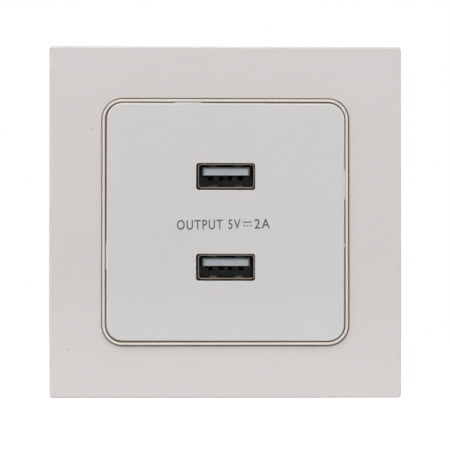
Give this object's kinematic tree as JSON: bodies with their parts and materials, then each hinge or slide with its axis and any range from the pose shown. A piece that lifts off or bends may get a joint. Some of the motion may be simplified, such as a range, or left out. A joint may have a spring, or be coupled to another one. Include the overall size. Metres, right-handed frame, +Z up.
{
  "type": "usb wall socket",
  "caption": "Flush wall socket with USB-A charging ports one above the other, in a square frame with a bead ring, on a steel support plate with spreading claws and a charger casing.",
  "frame": {"origin": "centre of the socket on the wall's surface", "axes": "+X to the right and +Z up as seen from the room, +Y into the wall"},
  "size_m": [0.081, 0.0407, 0.081],
  "materials": {
    "face_plastic": "glossy moulded",
    "plated_steel": "zinc plated",
    "casing_plastic": "matt moulded",
    "port_steel": "nickel plated",
    "port_plastic": "matt moulded",
    "contact_metal": "gold plated",
    "board_laminate": "solder mask",
    "black_plastic": "matt moulded",
    "ferrite": "sintered",
    "coil_tape": "polyester tape",
    "can_sleeve": "shrunk sleeve",
    "disc_coating": "dipped",
    "resistor_coating": "lacquer",
    "terminal_brass": "machined"
  },
  "bodies": {
    "insert": {"decor_frame": "face_plastic", "trim_ring": "face_plastic", "centre_plate": "face_plastic", "support_plate": "plated_steel", "housing_screws": "plated_steel", "front_housing": "casing_plastic", "rear_housing": "casing_plastic", "usb_shell_upper": "port_steel", "usb_shell_lower": "port_steel", "usb_insulator_upper": "port_plastic", "usb_insulator_lower": "port_plastic", "usb_contacts_upper": "contact_metal", "usb_contacts_lower": "contact_metal", "board_link_pins": "contact_metal", "usb_board": "board_laminate", "power_board": "board_laminate", "board_link_header": "black_plastic", "transformer_bobbin": "black_plastic", "bridge_rectifier": "black_plastic", "controller_chip": "black_plastic", "output_rectifier": "black_plastic", "line_choke": "black_plastic", "transformer_core": "ferrite", "transformer_winding": "coil_tape", "input_capacitors": "can_sleeve", "output_capacitor": "can_sleeve", "safety_capacitor": "disc_coating", "varistor": "disc_coating", "fuse_resistor": "resistor_coating", "terminal_block_live": "terminal_brass", "terminal_block_neutral": "terminal_brass"},
    "claw_left": {"claw_left": "plated_steel"},
    "claw_right": {"claw_right": "plated_steel"},
    "claw_screw_left": {"claw_screw_left": "plated_steel"},
    "claw_screw_right": {"claw_screw_right": "plated_steel"},
    "terminal_screw_live": {"terminal_screw_live": "plated_steel"},
    "terminal_screw_neutral": {"terminal_screw_neutral": "plated_steel"}
  },
  "joints": [
    {"name": "claw_screw_right_turn", "type": "hinge", "parent": "insert", "child": "claw_screw_right", "pos_m": [0.0235, 0, 0], "axis": [0, 1, 0], "range_deg": [0, 1108]},
    {"name": "claw_right_tilt", "type": "hinge", "parent": "insert", "child": "claw_right", "pos_m": [0.0194, 0.0023, 0], "axis": [0, 0, -1], "range_deg": [0, 22]},
    {"name": "claw_screw_left_turn", "type": "hinge", "parent": "insert", "child": "claw_screw_left", "pos_m": [-0.0235, 0, 0], "axis": [0, 1, 0], "range_deg": [0, 1108]},
    {"name": "claw_left_tilt", "type": "hinge", "parent": "insert", "child": "claw_left", "pos_m": [-0.0194, 0.0023, 0], "axis": [0, 0, 1], "range_deg": [0, 22]},
    {"name": "terminal_screw_live_drive", "type": "slide", "parent": "insert", "child": "terminal_screw_live", "axis": [0, 0, 1], "range_m": [0, 0.002]},
    {"name": "terminal_screw_neutral_drive", "type": "slide", "parent": "insert", "child": "terminal_screw_neutral", "axis": [0, 0, 1], "range_m": [0, 0.002]}
  ],
  "couplings": [
    {"joint": "claw_screw_right_turn", "follows": "claw_right_tilt", "ratio": 50.36},
    {"joint": "claw_screw_left_turn", "follows": "claw_left_tilt", "ratio": 50.36}
  ]
}
